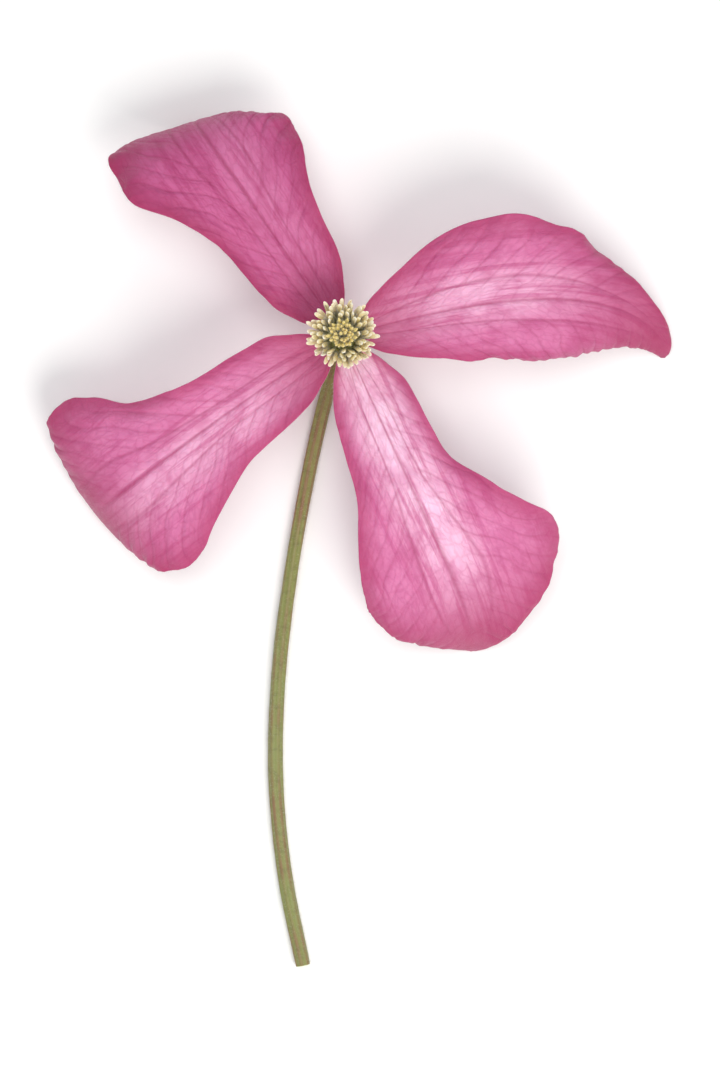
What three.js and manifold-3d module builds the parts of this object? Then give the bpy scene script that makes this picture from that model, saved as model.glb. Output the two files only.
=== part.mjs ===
// A clematis flower, as picked, lying face up: four arched tepals round a small receptacle, a ring
// of stamens, a tuft of styles and a bent pedicel. Millimetres, +Z up, resting on z = 0. The shape
// is worked out with the flower's axis at x = y = 0, and the finished group is then centred.
import * as THREE from "three";
import { mergeVertices } from "three/addons/utils/BufferGeometryUtils.js";
import Module from "manifold-3d";

const wasm = await Module();
wasm.setup();

const { degToRad, lerp, smoothstep } = THREE.MathUtils;
const goldenAngle = Math.PI * (3 - Math.sqrt(5));

// Driving dimensions
const gap = 0.3; // clear distance kept between neighbouring pieces
const seatRadius = 2.4; // from the flower's axis to the middle of each tepal's base edge
const seatHeight = 10; // of the tepals' base edges over the surface
const bladeThickness = 0.66;
const tipFlat = 0.22; // depth by which each tepal's lowest point is pressed flat on the surface
const tepalRows = 28; // steps from base to tip
const tepalColumns = 14; // steps from margin to margin, even so that one line is the midrib
const ribs = [
  { at: 0, height: 0.3 },
  { at: 2 / 7, height: 0.16 },
  { at: -2 / 7, height: 0.16 },
]; // veins, raised on the back and sunk in the front; at = place across the blade, -1 to 1
const ribSinking = 0.5; // depth of a vein's groove in the front, as a share of its height on the back

// Each tepal is a blade that follows its midrib. Lists of [station, value] run from the base at
// station 0 to the tip at station 1, with lengths in mm and angles in degrees. The left half is the
// counterclockwise one seen from above. heading: compass direction of the base. sweep: turn added to
// it. pitch: rise of the midrib over the horizontal. roll: turn round the midrib. width: of each
// half, measured along the blade. cup and curl: slope of each half at its margin, near and far part.
// wave: height, count and phase of the margin's waves, which fade out at both ends.
const tepals = {
  tepal_upper_left: {
    heading: 124.5,
    length: 35.2,
    sweep: [[0, 0], [1, 0]],
    pitch: [[0, 14], [0.3, 6], [0.5, -4], [0.64, -22], [0.75, -58], [0.85, -86], [1, -108]],
    roll: [[0, 0], [0.4, 2], [0.62, 12], [0.8, 17], [1, 17]],
    left: {
      width: [[0, 1.7], [0.05, 3], [0.14, 4.6], [0.35, 5.4], [0.5, 7.6], [0.64, 10.4], [0.78, 10.6],
        [0.9, 6.6], [1, 0.5]],
      cup: [[0, 30], [0.4, 5], [0.7, -10], [1, -10]],
      curl: [[0, 0], [0.4, -20], [0.75, -20], [1, 0]],
      wave: { height: 0.9, count: 2.5, phase: 0.3 },
    },
    right: {
      width: [[0, 1.7], [0.05, 3], [0.14, 4.6], [0.35, 6], [0.5, 8.2], [0.62, 9.3], [0.72, 8.4],
        [0.84, 6], [0.94, 3], [1, 0.5]],
      cup: [[0, 30], [0.4, 5], [0.7, -10], [1, -10]],
      curl: [[0, 0], [0.4, -20], [0.75, -30], [1, 0]],
      wave: { height: 0.5, count: 2.3, phase: 3.4 },
    },
  },
  tepal_right: {
    heading: 15,
    length: 40.2,
    sweep: [[0, 0], [0.35, -7], [0.65, -24], [0.85, -54], [1, -104]],
    pitch: [[0, 18], [0.3, 4], [0.6, -22], [0.82, -40], [0.93, -50], [1, -62]],
    roll: [[0, 0], [0.5, 2], [1, 4]],
    left: {
      width: [[0, 1.7], [0.05, 3.3], [0.14, 5.6], [0.3, 8.8], [0.43, 9.4], [0.56, 7.8], [0.7, 4.5],
        [0.85, 2], [0.95, 1.1], [1, 0.4]],
      cup: [[0, 30], [0.4, 8], [0.7, -5], [1, -10]],
      curl: [[0, 0], [0.4, -20], [0.75, -20], [1, 0]],
      wave: { height: 0.7, count: 2.6, phase: 0 },
    },
    right: {
      width: [[0, 1.7], [0.05, 3], [0.14, 4.4], [0.35, 6.4], [0.55, 8], [0.72, 7.4], [0.86, 4.2],
        [0.95, 1.7], [1, 0.4]],
      cup: [[0, 30], [0.3, 0], [0.7, -24], [1, -10]],
      curl: [[0, 0], [0.3, -50], [0.65, -90], [1, -40]],
      wave: { height: 0.5, count: 2.2, phase: 1 },
    },
  },
  tepal_lower_right: {
    heading: -66,
    length: 41,
    sweep: [[0, 0], [0.5, 1], [0.8, -5], [1, -22]],
    pitch: [[0, 24], [0.25, 9], [0.5, -12], [0.72, -35], [0.88, -55], [1, -76]],
    roll: [[0, 0], [1, 0]],
    left: {
      width: [[0, 1.7], [0.05, 2.9], [0.14, 4.4], [0.34, 5], [0.48, 8.4], [0.66, 13], [0.79, 10.4],
        [0.9, 5.2], [1, 0.5]],
      cup: [[0, 30], [0.4, 14], [0.7, 0], [1, 0]],
      curl: [[0, 0], [0.5, -20], [0.8, -24], [1, 0]],
      wave: { height: 1, count: 2.4, phase: 0 },
    },
    right: {
      width: [[0, 1.7], [0.05, 2.9], [0.14, 4.4], [0.35, 5.8], [0.53, 8.8], [0.7, 10.2], [0.83, 8.4],
        [0.93, 4.8], [1, 0.5]],
      cup: [[0, 30], [0.4, 8], [0.7, -4], [1, -10]],
      curl: [[0, 0], [0.5, -20], [0.8, -30], [1, 0]],
      wave: { height: 0.6, count: 2.3, phase: 1.4 },
    },
  },
  tepal_lower_left: {
    heading: 213,
    length: 37.6,
    sweep: [[0, 0], [0.6, 4], [1, 6]],
    pitch: [[0, 16], [0.3, 4], [0.57, -11], [0.74, -38], [0.88, -68], [1, -98]],
    roll: [[0, 0], [1, 0]],
    left: {
      width: [[0, 1.7], [0.05, 2.9], [0.14, 4.5], [0.35, 5.6], [0.55, 8.6], [0.74, 10.9], [0.86, 8.8],
        [0.95, 4.5], [1, 0.5]],
      cup: [[0, 30], [0.4, 6], [0.7, -6], [1, -10]],
      curl: [[0, 0], [0.5, -20], [0.8, -20], [1, 0]],
      wave: { height: 0.8, count: 2.5, phase: 0.5 },
    },
    right: {
      width: [[0, 1.7], [0.05, 2.9], [0.14, 4.5], [0.35, 5], [0.55, 7.2], [0.75, 12.2], [0.87, 10.6],
        [0.95, 5.2], [1, 0.5]],
      cup: [[0, 30], [0.4, 6], [0.7, -6], [1, -10]],
      curl: [[0, 0], [0.5, -20], [0.8, -24], [1, 0]],
      wave: { height: 1, count: 2.2, phase: 2.4 },
    },
  },
};

const receptacleRadius = seatRadius - gap;
const receptacleTop = seatHeight + 0.9;
const pedicelRadius = 0.78;
const pedicelFlat = 0.06; // depth by which the lying stem is pressed flat on the surface

const stamens = { count: 38, innerRadius: 1.55, outerRadius: 1.95, collarHeight: 0.7 };
const pistil = { styles: 15, coreRadius: 0.95, coreHeight: 0.8 };

// ---- Small tools ----

// A function through [station, value] points, smooth and without overshoot: a cubic in each span
// whose end slopes are the harmonic mean of the neighbouring spans' slopes.
function curveThrough(points) {
  const span = (i) => points[i + 1][0] - points[i][0];
  const slope = (i) => (points[i + 1][1] - points[i][1]) / span(i);
  const last = points.length - 1;
  const tangents = points.map((_, i) => {
    if (i === 0) return slope(0);
    if (i === last) return slope(last - 1);
    const before = slope(i - 1);
    const after = slope(i);
    return before * after > 0 ? (2 * before * after) / (before + after) : 0;
  });
  return (station) => {
    let i = 0;
    while (i < last - 1 && station >= points[i + 1][0]) i += 1;
    const h = span(i);
    const s = (station - points[i][0]) / h;
    return (
      (2 * s ** 3 - 3 * s ** 2 + 1) * points[i][1] +
      (s ** 3 - 2 * s ** 2 + s) * h * tangents[i] +
      (3 * s ** 2 - 2 * s ** 3) * points[i + 1][1] +
      (s ** 3 - s ** 2) * h * tangents[i + 1]
    );
  };
}

// Repeatable random numbers from 0 to 1.
function seededRandom(seed) {
  let state = seed;
  return () => {
    state = (state * 1664525 + 1013904223) % 4294967296;
    return state / 4294967296;
  };
}

// A closed three.js geometry as a manifold-3d solid.
function solidOf(geometry) {
  const bare = geometry.index ? geometry.toNonIndexed() : geometry.clone();
  bare.deleteAttribute("normal");
  bare.deleteAttribute("uv");
  const merged = mergeVertices(bare, 1e-4);
  return new wasm.Manifold(
    new wasm.Mesh({
      numProp: 3,
      vertProperties: merged.attributes.position.array,
      triVerts: new Uint32Array(merged.index.array),
    }),
  );
}

// A manifold-3d solid as a named three.js mesh.
function meshOf(name, solid, colour, roughness) {
  const { vertProperties, triVerts } = solid.getMesh();
  const geometry = new THREE.BufferGeometry();
  geometry.setAttribute("position", new THREE.BufferAttribute(vertProperties, 3));
  geometry.setIndex(new THREE.BufferAttribute(triVerts, 1));
  geometry.computeVertexNormals();
  const material = new THREE.MeshStandardMaterial({ color: colour, roughness, metalness: 0 });
  const mesh = new THREE.Mesh(geometry, material);
  mesh.name = name;
  return mesh;
}

function join(solids) {
  return solids.reduce((whole, solid) => whole.add(solid));
}

// Everything over the surface that the flower lies on.
const aboveSurface = solidOf(new THREE.BoxGeometry(300, 300, 100).translate(0, 0, 50));

// ---- Tepals ----

// Points of one half's cross-section from the midrib (x = 0) to the margin (x = 1): out is the
// distance from the midrib along the blade's flat, up is the height over it.
function crossSection(half, station, steps) {
  const width = curveThrough(half.width)(station);
  const cup = degToRad(curveThrough(half.cup)(station));
  const curl = degToRad(curveThrough(half.curl)(station));
  const { height, count, phase } = half.wave;
  const fade = smoothstep(station, 0.15, 0.4) * (1 - smoothstep(station, 0.8, 1));
  const swell = height * fade * Math.sin(2 * Math.PI * count * station + phase);
  const points = [];
  let out = 0;
  let up = 0;
  for (let i = 0; i <= steps; i += 1) {
    const x = i / steps;
    points.push({ out, up: up + swell * x ** 2.5 });
    const middle = x + 0.5 / steps;
    const slope = cup * middle + curl * middle ** 3;
    out += (Math.cos(slope) * width) / steps;
    up += (Math.sin(slope) * width) / steps;
  }
  return points;
}

// The blade's middle surface as rows of points from margin to margin (right to left).
function tepalSurface(tepal) {
  const sweep = curveThrough(tepal.sweep);
  const pitch = curveThrough(tepal.pitch);
  const roll = curveThrough(tepal.roll);
  const half = tepalColumns / 2;
  const directions = (station) => {
    const heading = degToRad(tepal.heading + sweep(station));
    const rise = degToRad(pitch(station));
    const turn = degToRad(roll(station));
    const along = new THREE.Vector3(
      Math.cos(rise) * Math.cos(heading),
      Math.cos(rise) * Math.sin(heading),
      Math.sin(rise),
    );
    const across = new THREE.Vector3(-Math.sin(heading), Math.cos(heading), 0);
    across.applyAxisAngle(along, turn);
    return { along, across, up: along.clone().cross(across) };
  };
  const base = degToRad(tepal.heading);
  const middle = new THREE.Vector3(Math.cos(base) * seatRadius, Math.sin(base) * seatRadius, seatHeight);
  const rows = [];
  for (let row = 0; row <= tepalRows; row += 1) {
    const station = row / tepalRows;
    const { across, up } = directions(station);
    const left = crossSection(tepal.left, station, half);
    const right = crossSection(tepal.right, station, half);
    const points = [];
    for (let column = -half; column <= half; column += 1) {
      const { out, up: height } = column < 0 ? right[-column] : left[column];
      const point = middle.clone().addScaledVector(across, Math.sign(column) * out);
      points.push(point.addScaledVector(up, height));
    }
    rows.push(points);
    middle.addScaledVector(directions(station + 0.5 / tepalRows).along, tepal.length / tepalRows);
  }
  return rows;
}

// Unit normals of a grid of points, from the differences between each point's neighbours.
function gridNormals(rows) {
  const clamp = THREE.MathUtils.clamp;
  return rows.map((points, row) =>
    points.map((_, column) => {
      const before = rows[clamp(row - 1, 0, rows.length - 1)][column];
      const after = rows[clamp(row + 1, 0, rows.length - 1)][column];
      const right = points[clamp(column - 1, 0, points.length - 1)];
      const left = points[clamp(column + 1, 0, points.length - 1)];
      return after.clone().sub(before).cross(left.clone().sub(right)).normalize();
    }),
  );
}

// A closed sheet: front and back grids of alike size, split into triangles alike, and their rim.
function sheetGeometry(front, back) {
  const rowCount = front.length;
  const columnCount = front[0].length;
  const position = [...front.flat(), ...back.flat()].flatMap((point) => point.toArray());
  const frontAt = (row, column) => row * columnCount + column;
  const backAt = (row, column) => rowCount * columnCount + frontAt(row, column);
  const index = [];
  for (let row = 0; row < rowCount - 1; row += 1) {
    for (let column = 0; column < columnCount - 1; column += 1) {
      const corners = [[row, column], [row + 1, column], [row + 1, column + 1], [row, column + 1]];
      const [a, b, c, d] = corners.map((corner) => frontAt(...corner));
      const [e, f, g, h] = corners.map((corner) => backAt(...corner));
      index.push(a, b, c, a, c, d, e, g, f, e, h, g);
    }
  }
  const wall = (from, to) => {
    index.push(frontAt(...from), backAt(...from), backAt(...to));
    index.push(frontAt(...from), backAt(...to), frontAt(...to));
  };
  for (let row = 0; row < rowCount - 1; row += 1) {
    wall([row, 0], [row + 1, 0]);
    wall([row + 1, columnCount - 1], [row, columnCount - 1]);
  }
  for (let column = 0; column < columnCount - 1; column += 1) {
    wall([0, column + 1], [0, column]);
    wall([rowCount - 1, column], [rowCount - 1, column + 1]);
  }
  const geometry = new THREE.BufferGeometry();
  geometry.setAttribute("position", new THREE.Float32BufferAttribute(position, 3));
  geometry.setIndex(index);
  return geometry;
}

// Height of the veins at a place: each is a ridge one column to either side that fades at both ends.
function ribHeight(across, station) {
  const column = 2 / tepalColumns;
  const fade = smoothstep(station, 0, 0.06) * (1 - smoothstep(station, 0.7, 0.98));
  return ribs.reduce((sum, rib) => {
    const near = Math.max(0, 1 - Math.abs(across - rib.at) / column);
    return sum + rib.height * near * fade;
  }, 0);
}

// A tepal lies with its lowest point on the surface, pressed a little flat.
function tepalSolid(tepal) {
  const middle = tepalSurface(tepal);
  const normals = gridNormals(middle);
  const offset = (distanceAt) =>
    middle.map((points, row) =>
      points.map((point, column) => {
        const distance = distanceAt((2 * column) / tepalColumns - 1, row / tepalRows);
        return point.clone().addScaledVector(normals[row][column], distance);
      }),
    );
  const front = offset((across, station) => bladeThickness / 2 - ribSinking * ribHeight(across, station));
  const back = offset((across, station) => -bladeThickness / 2 - ribHeight(across, station));
  const blade = solidOf(sheetGeometry(front, back));
  const lowest = blade.boundingBox().min[2];
  return blade.translate([0, 0, -lowest - tipFlat]).intersect(aboveSurface);
}

// ---- Stamens and styles ----

// A straight shape along +Y, bent so that it starts upright-ish at a radius from the flower's axis
// and leans outward along an arc. from and to are its leans from the vertical at foot and tip.
function bendOutward(geometry, length, { radius, height, azimuth, from, to }) {
  const position = geometry.attributes.position;
  const bend = (to - from) / length;
  for (let i = 0; i < position.count; i += 1) {
    const along = position.getY(i);
    const lean = from + bend * along;
    const out = radius + (Math.cos(from) - Math.cos(lean)) / bend + position.getX(i) * Math.cos(lean);
    const up = height + (Math.sin(lean) - Math.sin(from)) / bend - position.getX(i) * Math.sin(lean);
    const aside = -position.getZ(i);
    position.setXYZ(
      i,
      out * Math.cos(azimuth) - aside * Math.sin(azimuth),
      out * Math.sin(azimuth) + aside * Math.cos(azimuth),
      up,
    );
  }
  return geometry;
}

// A lathe round +Y through [radius, height] points; the first and last lie on the axis.
function lathe(points, sides) {
  return new THREE.LatheGeometry(points.map(([radius, height]) => new THREE.Vector2(radius, height)), sides);
}

// The same lathe as a solid round the flower's axis.
function latheSolid(points, sides) {
  return solidOf(lathe(points, sides).rotateX(Math.PI / 2));
}

// One filament with its anther.
function stamenSolid(length, place) {
  const antherLength = 2.1;
  const foot = length - antherLength;
  const profile = [
    [0, 0],
    [0.34, 0],
    [0.3, foot * 0.35],
    [0.27, foot * 0.7],
    [0.25, foot],
    [0.42, foot + 0.35],
    [0.46, foot + antherLength * 0.5],
    [0.34, length - 0.3],
    [0, length],
  ];
  return solidOf(bendOutward(lathe(profile, 5), length, place));
}

// Filaments stand on a collar by the golden angle, the outer ones leaning further.
function stamensSolid() {
  const random = seededRandom(11);
  const foot = receptacleTop + gap;
  const { count, innerRadius, outerRadius, collarHeight } = stamens;
  const collar = latheSolid(
    [
      [innerRadius - 0.3, foot],
      [outerRadius + 0.25, foot],
      [outerRadius + 0.2, foot + collarHeight],
      [innerRadius - 0.3, foot + collarHeight],
      [innerRadius - 0.3, foot],
    ],
    28,
  );
  const pieces = [collar];
  for (let i = 0; i < count; i += 1) {
    const outward = Math.sqrt((i + 0.5) / count);
    const place = {
      radius: lerp(innerRadius, outerRadius, outward),
      height: foot + 0.15,
      azimuth: i * goldenAngle,
      from: degToRad(lerp(5, 12, outward) + 3 * random()),
      to: degToRad(lerp(10, 17, outward) + 5 * random()) + 0.02,
    };
    pieces.push(stamenSolid(lerp(6, 5.3, outward) + 0.6 * random(), place));
  }
  return join(pieces);
}

// One carpel with its style.
function styleSolid(length, place) {
  const profile = [
    [0, 0],
    [0.38, 0],
    [0.42, 0.6],
    [0.24, 1.4],
    [0.2, length * 0.6],
    [0.19, length - 0.2],
    [0, length],
  ];
  return solidOf(bendOutward(lathe(profile, 5), length, place));
}

// Carpels stand on a small core, inside the stamens' collar.
function pistilSolid() {
  const random = seededRandom(23);
  const foot = receptacleTop + gap;
  const { styles, coreRadius, coreHeight } = pistil;
  const core = latheSolid(
    [
      [0, foot],
      [coreRadius - 0.1, foot],
      [coreRadius, foot + 0.3],
      [coreRadius * 0.7, foot + coreHeight],
      [0, foot + coreHeight + 0.25],
    ],
    16,
  );
  const pieces = [core];
  for (let i = 0; i < styles; i += 1) {
    const outward = Math.sqrt((i + 0.5) / styles);
    const place = {
      radius: lerp(0, coreRadius - 0.42, outward),
      height: foot + 0.2,
      azimuth: i * goldenAngle + 0.4,
      from: degToRad(2 + 6 * outward),
      to: degToRad(4 + 9 * outward * random()) + 0.02,
    };
    pieces.push(styleSolid(lerp(5.7, 5.1, outward) + 0.5 * random(), place));
  }
  return join(pieces);
}

// ---- Pedicel ----

// The stem bends down under the flower, passes between the two lower tepals and lies on the surface.
function pedicelSolid() {
  const lying = pedicelRadius - pedicelFlat;
  const neck = receptacleTop - 3.4;
  const route = new THREE.CatmullRomCurve3(
    [
      [0, 0, neck + 0.4],
      [0, 0, neck - 1.2],
      [-0.4, -1.2, neck - 3.6],
      [-1.3, -4.4, 1.7],
      [-2.5, -9, lying],
      [-4, -16, lying],
      [-5.6, -25, lying],
      [-7, -36, lying],
      [-7.4, -48, lying],
      [-6.4, -59, lying],
      [-4.4, -69, lying],
    ].map(([x, y, z]) => new THREE.Vector3(x, y, z)),
  );
  const section = new THREE.Shape().absarc(0, 0, pedicelRadius, 0, 2 * Math.PI, false);
  const stem = new THREE.ExtrudeGeometry(section, { steps: 48, curveSegments: 10, extrudePath: route });
  const receptacle = latheSolid(
    [
      [0, neck - 0.6],
      [pedicelRadius * 0.9, neck - 0.6],
      [pedicelRadius + 0.14, neck + 0.2],
      [receptacleRadius * 0.72, neck + 1.1],
      [receptacleRadius * 0.96, neck + 1.9],
      [receptacleRadius, seatHeight],
      [receptacleRadius - 0.1, receptacleTop],
      [0, receptacleTop],
    ],
    28,
  );
  return solidOf(stem).add(receptacle).intersect(aboveSurface);
}

// ---- The flower ----

const tepalColours = {
  tepal_upper_left: "#c9628f",
  tepal_right: "#dd85b0",
  tepal_lower_right: "#e38fbc",
  tepal_lower_left: "#d87ca8",
};

const flower = new THREE.Group();
for (const [name, tepal] of Object.entries(tepals)) {
  flower.add(meshOf(name, tepalSolid(tepal), tepalColours[name], 0.62));
}
flower.add(meshOf("stamens", stamensSolid(), "#efe2b4", 0.7));
flower.add(meshOf("pistil", pistilSolid(), "#a9b45a", 0.7));
flower.add(meshOf("pedicel", pedicelSolid(), "#7c8a45", 0.65));

const box = new THREE.Box3().setFromObject(flower);
const middle = box.getCenter(new THREE.Vector3());
flower.position.set(-middle.x, -middle.y, 0);

export default flower;
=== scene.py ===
import math

import bpy
import numpy as np
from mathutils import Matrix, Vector


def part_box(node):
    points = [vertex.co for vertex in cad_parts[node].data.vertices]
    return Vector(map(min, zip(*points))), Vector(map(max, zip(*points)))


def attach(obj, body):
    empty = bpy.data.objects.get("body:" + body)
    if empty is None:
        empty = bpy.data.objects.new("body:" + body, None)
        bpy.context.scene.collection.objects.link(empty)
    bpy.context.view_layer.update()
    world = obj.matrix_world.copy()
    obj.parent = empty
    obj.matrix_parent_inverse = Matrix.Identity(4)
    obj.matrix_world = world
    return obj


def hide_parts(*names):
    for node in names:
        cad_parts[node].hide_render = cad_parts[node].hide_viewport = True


# A clematis flower lying face up: four tepals, stamens, styles and a bent stem.
# Every piece is worked out in mm with the flower's axis at x = y = 0, then put in metres at the place
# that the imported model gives.

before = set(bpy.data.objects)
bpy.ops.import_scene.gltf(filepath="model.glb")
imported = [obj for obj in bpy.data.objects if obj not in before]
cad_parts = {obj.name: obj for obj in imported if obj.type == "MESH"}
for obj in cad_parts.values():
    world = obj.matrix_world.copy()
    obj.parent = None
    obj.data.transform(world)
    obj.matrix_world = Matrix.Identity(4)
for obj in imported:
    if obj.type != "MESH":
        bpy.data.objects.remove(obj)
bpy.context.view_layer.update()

mm = 0.001
goldenAngle = math.pi * (3 - math.sqrt(5))

bloom = {
    "seatRadius": 2.4,  # mm from the axis to the middle of each tepal's base edge
    "seatHeight": 10.0,  # mm from the surface to the base edges
    "gripRadius": 2.25,  # the base edges bend round to this radius, inside the receptacle
    "receptacleRadius": 2.1,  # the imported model's own, which gives the axis
    "receptacleTop": 10.9,
}

# the receptacle is the stem node's furthest point towards +X and +Y, so it gives the flower's axis
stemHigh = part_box("pedicel")[1]
axisX = stemHigh.x - bloom["receptacleRadius"] * mm
axisY = stemHigh.y - bloom["receptacleRadius"] * mm


def curveThrough(points, at):
    # cubic in each span, end slopes = harmonic mean of the neighbouring spans' slopes
    x, y = np.array(points, float).T
    at = np.asarray(at, float)
    span = np.diff(x)
    slope = np.diff(y) / span
    tangent = np.concatenate([slope[:1], np.zeros(len(x) - 2), slope[-1:]])
    same = slope[:-1] * slope[1:] > 0
    total = np.where(same, slope[:-1] + slope[1:], 1.0)
    tangent[1:-1] = np.where(same, 2 * slope[:-1] * slope[1:] / total, 0.0)
    i = np.clip(np.searchsorted(x, at, side="right") - 1, 0, len(x) - 2)
    s = (at - x[i]) / span[i]
    startPart = (2 * s**3 - 3 * s**2 + 1) * y[i] + (s**3 - 2 * s**2 + s) * span[i] * tangent[i]
    endPart = (3 * s**2 - 2 * s**3) * y[i + 1] + (s**3 - s**2) * span[i] * tangent[i + 1]
    return startPart + endPart


def smoothStep(low, high, x):
    # 0 below low, 1 above high, 3q^2 - 2q^3 between
    q = np.clip((np.asarray(x, float) - low) / (high - low), 0, 1)
    return q * q * (3 - 2 * q)


def riseAndFall(x, low, high, still, gone, share=1.0):
    # up from low to high, then down by the share from still to gone
    return smoothStep(low, high, x) * (1 - share * smoothStep(still, gone, x))


def hash01(ix, iy, seed):
    # a repeatable number from 0 to 1 for each whole-number place: the fraction of a large sine
    return np.mod(np.sin(ix * 127.1 + iy * 311.7 + seed * 74.7) * 43758.5453, 1.0)


def bumps(x, y, seed):
    # value noise from -1 to 1: the corners' numbers blended by 6q^5 - 15q^4 + 10q^3 in each square
    ix, iy = np.floor(x), np.floor(y)
    qx, qy = [q**3 * (q * (q * 6 - 15) + 10) for q in (x - ix, y - iy)]
    low, high = [hash01(ix, k, seed) * (1 - qx) + hash01(ix + 1, k, seed) * qx for k in (iy, iy + 1)]
    return (low * (1 - qy) + high * qy) * 2 - 1


def unit(vectors):
    # each vector divided by its own length
    return vectors / np.maximum(np.linalg.norm(vectors, axis=-1, keepdims=True), 1e-12)


def compass(angle):
    # level unit vectors: the one at the angle, and the one a quarter turn further round
    cosine, sine, level = np.cos(angle), np.sin(angle), 0 * angle
    return np.stack([cosine, sine, level], -1), np.stack([-sine, cosine, level], -1)


def addUp(steps, axis=0):
    # running sums of the steps, beginning at 0
    return np.insert(np.cumsum(steps, axis), 0, 0, axis)


def distanceAlong(path):
    # the path's length up to each of its points
    return addUp(np.linalg.norm(np.diff(path, axis=0), axis=1))


def between(pair, share):
    # straight from the pair's first value to its second
    return pair[0] + (pair[1] - pair[0]) * share


def gridQuads(rows, columns, offset=0, closed=False):
    # quads of a grid of points, row by row; closed joins the last column to the first
    last = columns if closed else columns - 1
    i, j = np.meshgrid(np.arange(rows - 1), np.arange(last), indexing="ij")
    k = (j + 1) % columns
    quads = np.stack([i * columns + j, (i + 1) * columns + j, (i + 1) * columns + k, i * columns + k], -1)
    return quads.reshape(-1, 4) + offset


def copyFaces(faces, copies, each):
    # the faces of one copy repeated, each copy's numbers moved on by the points that a copy has
    return (faces[None] + np.arange(copies)[:, None, None] * each).reshape(-1, faces.shape[1])


def newObject(name, data):
    # an object at the origin, put in the scene
    thing = bpy.data.objects.new(name, data)
    bpy.context.scene.collection.objects.link(thing)
    return thing


def makePiece(name, parts, material, node):
    # parts: (points in mm round the flower's axis, arrays of faces, numbers per point) of each part
    mesh = bpy.data.meshes.new(name)
    points = np.concatenate([part[0] for part in parts]) * mm + np.array([axisX, axisY, 0.0])
    starts = addUp([len(part[0]) for part in parts])
    faces = [f + start for part, start in zip(parts, starts) for f in part[1]]
    corners = np.concatenate([f.ravel() for f in faces]).astype(np.int32)
    sizes = np.concatenate([np.full(len(f), f.shape[1]) for f in faces]).astype(np.int32)
    mesh.vertices.add(len(points))
    mesh.vertices.foreach_set("co", points.astype(np.float32).ravel())
    mesh.loops.add(len(corners))
    mesh.loops.foreach_set("vertex_index", corners)
    mesh.polygons.add(len(sizes))
    mesh.polygons.foreach_set("loop_start", (np.cumsum(sizes) - sizes).astype(np.int32))
    mesh.polygons.foreach_set("use_smooth", np.full(len(sizes), True))
    mesh.update(calc_edges=True)
    mesh.validate()
    for key in parts[0][2]:
        values = [np.broadcast_to(np.ravel(part[2][key]), len(part[0])) for part in parts]
        layer = mesh.attributes.new(key, "FLOAT", "POINT")
        layer.data.foreach_set("value", np.concatenate(values).astype(np.float32))
    mesh.materials.append(material)
    piece = newObject(name, mesh)
    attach(piece, "root")
    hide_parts(node)


def spikes(feet, ways, lengths, radius, lowest=0.0):
    # hairs as slim three-sided spikes: three points round each foot and one at the tip, which is
    # above lowest. The reference is a direction well away from the hair's own
    keep = (feet + ways * lengths[:, None])[:, 2] > lowest
    feet, ways, lengths = feet[keep], ways[keep], lengths[keep]
    reference = np.where(np.abs(ways[:, 2:]) < 0.8, [[0.0, 0.0, 1.0]], [[1.0, 0.0, 0.0]])
    side = unit(np.cross(ways, reference))
    up = np.cross(ways, side)
    angle = np.array([0, 2, 4]) * math.pi / 3
    rim = (feet[:, None] + radius * (side[:, None] * np.cos(angle)[:, None]
                                     + up[:, None] * np.sin(angle)[:, None]))
    tip = (feet + ways * lengths[:, None])[:, None]
    faces = np.array([[0, 1, 3], [1, 2, 3], [2, 0, 3], [2, 1, 0]])
    return np.concatenate([rim, tip], 1).reshape(-1, 3), [copyFaces(faces, len(feet), 4)]


def newMaterial(name):
    # a material with nodes, its node tree and its shader
    material = bpy.data.materials.new(name)
    material.use_nodes = True
    tree = material.node_tree
    return material, tree, tree.nodes["Principled BSDF"]


def feed(socket, value):
    # another node's output linked to the socket, or a number put on it
    if isinstance(value, bpy.types.NodeSocket):
        socket.id_data.links.new(value, socket)
    else:
        socket.default_value = value


def setInputs(node, values):
    # outputs, numbers and colours for the node's sockets, by name
    for key, value in values.items():
        feed(node.inputs[key], value)


def newNode(tree, kind, *inputs, **settings):
    # a node with its settings, then its inputs in order. The helpers below add their nodes to the tree
    # of the first output that they are given
    node = tree.nodes.new(kind)
    for key, value in settings.items():
        setattr(node, key, value)
    for socket, value in zip(node.inputs, inputs):
        feed(socket, value)
    return node


def mathNode(operation, a, b=0.0):
    # one step of arithmetic on an output, and on another or a number
    return newNode(a.id_data, "ShaderNodeMath", a, b, operation=operation).outputs[0]


def product(*values):
    # the product of an output and other outputs or numbers
    result = values[0]
    for value in values[1:]:
        result = mathNode("MULTIPLY", result, value)
    return result


def distance(a, b):
    # how far a is from b, whichever is larger
    return mathNode("ABSOLUTE", mathNode("SUBTRACT", a, b))


def joined(x, y, z):
    # three numbers or outputs as one vector
    return newNode(x.id_data, "ShaderNodeCombineXYZ", x, y, z).outputs[0]


def scaled(vector, factors):
    # a vector or colour times another, part by part
    return newNode(vector.id_data, "ShaderNodeVectorMath", vector, factors, operation="MULTIPLY").outputs[0]


def ramp(value, low, high, start=0, end=1):
    # start below low, end above high, smooth between
    return newNode(value.id_data, "ShaderNodeMapRange", value, low, high, start, end,
                   interpolation_type="SMOOTHSTEP").outputs[0]


def linear(colour):
    # screen colour from 0 to 255 as the linear colour that a socket takes
    screen = np.array(colour) / 255.0
    return (*np.where(screen <= 0.04045, screen / 12.92, ((screen + 0.055) / 1.055) ** 2.4), 1.0)


def blendColours(share, a, b):
    # a where the share is 0, b where it is 1, and in between a mix in that proportion
    node = newNode(share.id_data, "ShaderNodeMix", share, data_type="RGBA")
    for socket, value in zip(node.inputs[6:], (a, b)):
        feed(socket, linear(value) if isinstance(value, tuple) else value)
    return node.outputs[2]


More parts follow.
